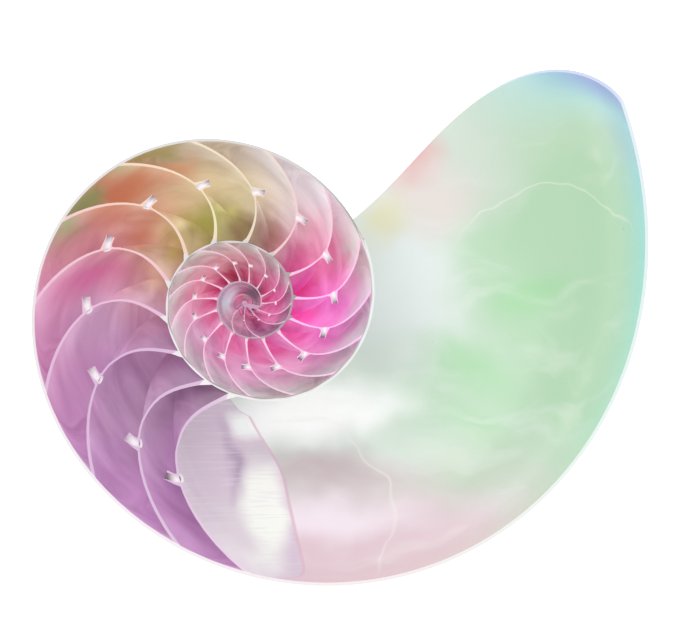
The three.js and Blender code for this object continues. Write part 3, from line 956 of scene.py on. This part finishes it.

# %% [markdown]
# Where the pearl runs from gold to pink its layers change thickness fast, and the rooms there hold
# most colours: olive along the keel, orange in the middle, yellow-green beside the coil. In the
# smallest rooms the pearl is silver-grey on one side and dark plum on the other. The rooms also glow
# a little, the living room least: the glow is painted light, an emission that fills the shade so
# that no room has black corners, and within the living room it is strongest under the coil. The
# gloss is that of polished aragonite.

# %% Blooms in the rooms, painted glow and gloss
ROOM_BLOOMS = [  # colour, centre, reach, turned, strength, core
    ("#C87C5C", (-33, 28.5), (16, 8), 28, 0.85, 0.1),  # orange in the middle of the rooms
    ("#BE7458", (-28, 19), (8, 5), 15, 0.7, 0.0),
    ("#D2987A", (-20, 35), (9, 5), 30, 0.75, 0.0),
    ("#E2C2AA", (-21.6, 8.6), (6, 7), 0, 0.6, 0.0),
    ("#88A068", (-45, 25), (17, 5), 50, 0.9, 0.1),  # olive along the keel
    ("#9A9A60", (-27, 40), (17, 5), 24, 0.9, 0.1),
    ("#E6D0A8", (-17.4, 19), (5, 3.5), 0, 0.7, 0.0),  # yellow-green beside the coil
    ("#A4A252", (-10.5, 21.6), (9, 7), 0, 0.85, 0.1),
    ("#B49C58", (-17, 14), (4.5, 4), 0, 0.6, 0.0),
    ("#DCD494", (-6, 23.7), (4, 3.5), 0, 0.6, 0.0),
    ("#846C52", (-1.3, 19), (5, 4), 0, 0.6, 0.0),
    ("#CA6296", (-40.5, 6), (14, 8), 25, 0.75, 0.0),  # rose where the gold ends
    ("#8E5A78", (-1.0, 1.0), (2.8, 2.6), 0, 0.75, 0.1),  # plum and silver at the middle of the coil
    ("#5E344E", (1.4, 3.2), (3.4, 2.1), -35, 0.9, 0.1),
    ("#B4B4C0", (-4.2, 1.2), (1.8, 3.4), 0, 0.7, 0.1),
]
for colour, *where in ROOM_BLOOMS:
    room_colour = bloom(tree, room_colour, colour, *where)
in_living_room = add(tree, "ShaderNodeMapRange", {"Value": room_at, "From Min": -0.01, "From Max": 0.01})
pearl_colour = add(
    tree, "ShaderNodeMix", {0: in_living_room, 6: room_colour, 7: living_colour}, out=2, data_type="RGBA"
)
# Painted light: an emission glow, even in the rooms and in the living room strongest under the coil.
glow = bloom(tree, "#707070", "#969696", (20, -27), (38, 15), 6, 1.0, 0.2)
glow = add(tree, "ShaderNodeMix", {0: in_living_room, 2: 0.4, 3: glow}, data_type="FLOAT")
# The base colour is dimmed so that the painted glow carries part of the brightness and the shading stays
# soft.
dimmed = add(
    tree,
    "ShaderNodeMix",
    {0: 1.0, 6: pearl_colour, 7: "#ECECEC"},
    out=2,
    data_type="RGBA",
    blend_type="MULTIPLY",
)
bump = add(tree, "ShaderNodeBump", {"Strength": 0.12, "Distance": 0.0003, "Height": folds})
surface = add(
    tree,
    "ShaderNodeBsdfPrincipled",
    {
        "Base Color": dimmed,
        "Roughness": 0.3,
        "IOR": 1.53,
        "Coat Weight": 0.3,
        "Coat Roughness": 0.12,
        "Normal": bump,
        "Emission Color": pearl_colour,
        "Emission Strength": glow,
    },
)
add(tree, "ShaderNodeOutputMaterial", {"Surface": surface})

# %% [markdown]
# ## The sawn edge, the necks and the outside
#
# Sawing and fine polishing leave the walls' cross-section almost white, tinted by the rooms beside
# it. Between two whorls the wall is a silver-grey line.

# %% Sawn edge
tree = emptied(FINISHES[SAWN_EDGE])
age_at, across_at, wall_at = (
    add(tree, "ShaderNodeAttribute", out="Fac", attribute_name=name) for name in ("age", "across", "wall")
)
SEPTUM_TINTS = [
    (-740, "#C493B0"), (-500, "#EAB4CC"), (-280, "#F4BED2"), (-160, "#F7C2DC"), (-60, "#F6C6E0"),
    (-25, "#FDC4F0"), (5, "#FFC0F0"), (31, "#FCC4E0"), (57, "#EEC8CE"), (84, "#E8D8C0"),
    (110, "#EEDEBC"), (134, "#EFCFBA"), (156, "#EDC4C6"), (180, "#E4B8D2"), (205, "#D6B2D4"),
    (250, "#D8BCD8"), (290, "#F2E6EA"), (350, "#EAF6F2"),
]
WALL_TINTS = [
    (-740, "#B890A8"), (-400, "#C8A4B8"), (-250, "#B8A0AC"), (-60, "#9C9698"), (30, "#A0A09A"),
    (70, "#D2D0CC"), (240, "#F0E8EE"), (300, "#F4ECEC"), (340, "#E6F4EE"), (400, "#DCE8F4"),
]
COAT_TINTS = [(-740, "#8E6480"), (-420, "#B890A8"), (-200, "#D8B4C6"), (20, "#CDC5C8"), (250, "#D8D2D4")]
tint, wall_tint, coat_tint = (
    add(tree, "ShaderNodeValToRGB", {"Fac": age_at}, stops=[(age(at), colour) for at, colour in stops])
    for stops in (SEPTUM_TINTS, WALL_TINTS, COAT_TINTS)
)
tint = laid_over(tree, tint, coat_tint, (across_at, 0.04, 0.015, 1.0, "LINEAR"))
tint = laid_over(tree, tint, wall_tint, (wall_at, 0.93, 1.0, 1.0, "LINEAR"))
surface = add(tree, "ShaderNodeBsdfPrincipled", {"Base Color": tint, "Roughness": 0.25, "IOR": 1.6})
add(tree, "ShaderNodeOutputMaterial", {"Surface": surface})

# %% [markdown]
# The necks are thin, chalky pearl, white outside, and glow a little, which is painted light. Their
# bore is painted darker towards the tip, as shade inside the hollow: the distance from the septum
# is the part of the room number after the point.

# %% Necks, outside and inside
tree = emptied(FINISHES[NECK_PEARL])
surface = add(
    tree,
    "ShaderNodeBsdfPrincipled",
    {
        "Base Color": "#F4EAF0",
        "Roughness": 0.18,
        "IOR": 1.6,
        # Painted light: the necks glow a little.
        "Emission Color": "#F4EAF0",
        "Emission Strength": 0.1,
    },
)
add(tree, "ShaderNodeOutputMaterial", {"Surface": surface})

tree = emptied(FINISHES[BORE_PEARL])
room_at = add(tree, "ShaderNodeAttribute", out="Fac", attribute_name="room")
phase = add(tree, "ShaderNodeMath", {0: room_at}, operation="FRACT")
# Painted shade inside the bore: dark in the middle of the ramp, pale at its ends.
bore_shade = add(
    tree,
    "ShaderNodeValToRGB",
    {"Fac": phase},
    stops=[(0.3, "#F4EAF0"), (0.5, "#80687A"), (0.68, "#80687A"), (0.8, "#DACCD6"), (0.88, "#F6EEF3")],
)
surface = add(tree, "ShaderNodeBsdfPrincipled", {"Base Color": bore_shade, "Roughness": 0.15, "IOR": 1.6})
add(tree, "ShaderNodeOutputMaterial", {"Surface": surface})

# %% [markdown]
# The outside was ground down to the pearl too. Growth lines run round the tube, from keel to navel,
# a little under a millimetre apart; they follow the shape of the mouth's edge, so the distance to
# that edge draws them. Most of it shines pale pink and green, and the mouth's own edge pale blue.

# %% Outside
tree = emptied(FINISHES[OUTER_PEARL])
lip_at = add(tree, "ShaderNodeAttribute", out="Fac", attribute_name="lip")
around_at = add(tree, "ShaderNodeAttribute", out="Fac", attribute_name="around")
coil_at = add(tree, "ShaderNodeAttribute", out="Vector", attribute_name="coil")
round_tube = add(tree, "ShaderNodeCombineXYZ", {"X": lip_at, "Y": around_at})
lines = add(tree, "ShaderNodeTexNoise", {"Vector": round_tube, "Scale": 0.8, "Detail": 3.0})
drift = add(tree, "ShaderNodeTexNoise", {"Vector": coil_at, "Scale": 0.04, "Detail": 2.0})
pearl_colour = add(
    tree,
    "ShaderNodeValToRGB",
    {"Fac": drift},
    stops=[(0.35, "#A9B4AC"), (0.5, "#B5ACAA"), (0.65, "#B49CA8")],
)
pearl_colour = laid_over(tree, pearl_colour, "#8C7C78", (lines, 0.4, 0.65, 0.5, "LINEAR"))
pearl_colour = laid_over(tree, pearl_colour, "#BAC4DE", (lip_at, 2.5, 0.5, 1.0, "LINEAR"))
bump = add(tree, "ShaderNodeBump", {"Strength": 0.25, "Distance": 0.0002, "Height": lines})
surface = add(
    tree,
    "ShaderNodeBsdfPrincipled",
    {"Base Color": pearl_colour, "Roughness": 0.25, "IOR": 1.53, "Coat Weight": 0.3, "Normal": bump},
)
add(tree, "ShaderNodeOutputMaterial", {"Surface": surface})

# %% [markdown]
# ## Floor, light and camera
#
# The shell lies on a pale table that glows a little, so that no shadow darkens its rim, under a wide
# softbox. The camera looks straight down on the sawn face from a metre and a half.

# %% Floor
floor_mesh = bpy.data.meshes.new("floor")
floor_mesh.from_pydata([(-3, -3, 0), (3, -3, 0), (3, 3, 0), (-3, 3, 0)], [], [(0, 1, 2, 3)])
floor = bpy.data.objects.new("floor", floor_mesh)
bpy.context.scene.collection.objects.link(floor)
floor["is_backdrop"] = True
table_top = bpy.data.materials.new("opal_acrylic_lit_from_below")
tree = emptied(table_top)
surface = add(
    tree,
    "ShaderNodeBsdfPrincipled",
    {"Base Color": "#F4F4F4", "Roughness": 0.6, "Emission Color": "#FFFFFF", "Emission Strength": 0.6},
)
add(tree, "ShaderNodeOutputMaterial", {"Surface": surface})
floor_mesh.materials.append(table_top)

# %% Light
scene = bpy.context.scene
scene.view_settings.view_transform = "Standard"
world = bpy.data.worlds.new("studio")
world.use_nodes = True
world.node_tree.nodes.clear()
sky = add(world.node_tree, "ShaderNodeBackground", {"Color": "#FFFFFF", "Strength": 0.85})
add(world.node_tree, "ShaderNodeOutputWorld", {"Surface": sky})
scene.world = world

softbox_data = bpy.data.lights.new("softbox", "AREA")
softbox_data.size, softbox_data.energy = 0.9, 4.5
softbox = bpy.data.objects.new("softbox", softbox_data)
scene.collection.objects.link(softbox)

# %% Camera
FRAME_WIDTH, CAMERA_AWAY = 0.182, 1.5
FRAME_MIDDLE = (27.3, -3.5, 0.0)  # mm, in the coil's frame
SOFTBOX_FROM_MIDDLE = (-0.45, 0.55, 1.0)  # m, turned with the sawn face
aim = at_rest([FRAME_MIDDLE])[0]
camera_data = bpy.data.cameras.new("camera")
camera_data.sensor_width = 36.0
camera_data.lens = 36.0 * CAMERA_AWAY / FRAME_WIDTH
camera_data.clip_end = 20.0
camera = bpy.data.objects.new("camera", camera_data)
scene.collection.objects.link(camera)
scene.camera = camera
pose = np.eye(4)
pose[:3, :3] = turn
pose[:3, 3] = aim + turn[:, 2] * CAMERA_AWAY
camera.matrix_world = Matrix(pose.tolist())

pose[:3, 3] = aim + turn @ np.array(SOFTBOX_FROM_MIDDLE)
toward = Vector((aim - pose[:3, 3]).tolist()).to_track_quat("-Z", "Y")
softbox.location, softbox.rotation_mode = pose[:3, 3].tolist(), "QUATERNION"
softbox.rotation_quaternion = toward

# %% [markdown]
# ## The two boxes
#
# The box of the CAD model and of this visual model are printed, so that they can be compared.

# %% Sizes and finish
low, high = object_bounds()
sizes = [list(map(float, corner)) for corner in (cad_low, cad_high, low, high)]
print("visual box in mm:", [round(value * 1000, 2) for value in (*low, *high)])
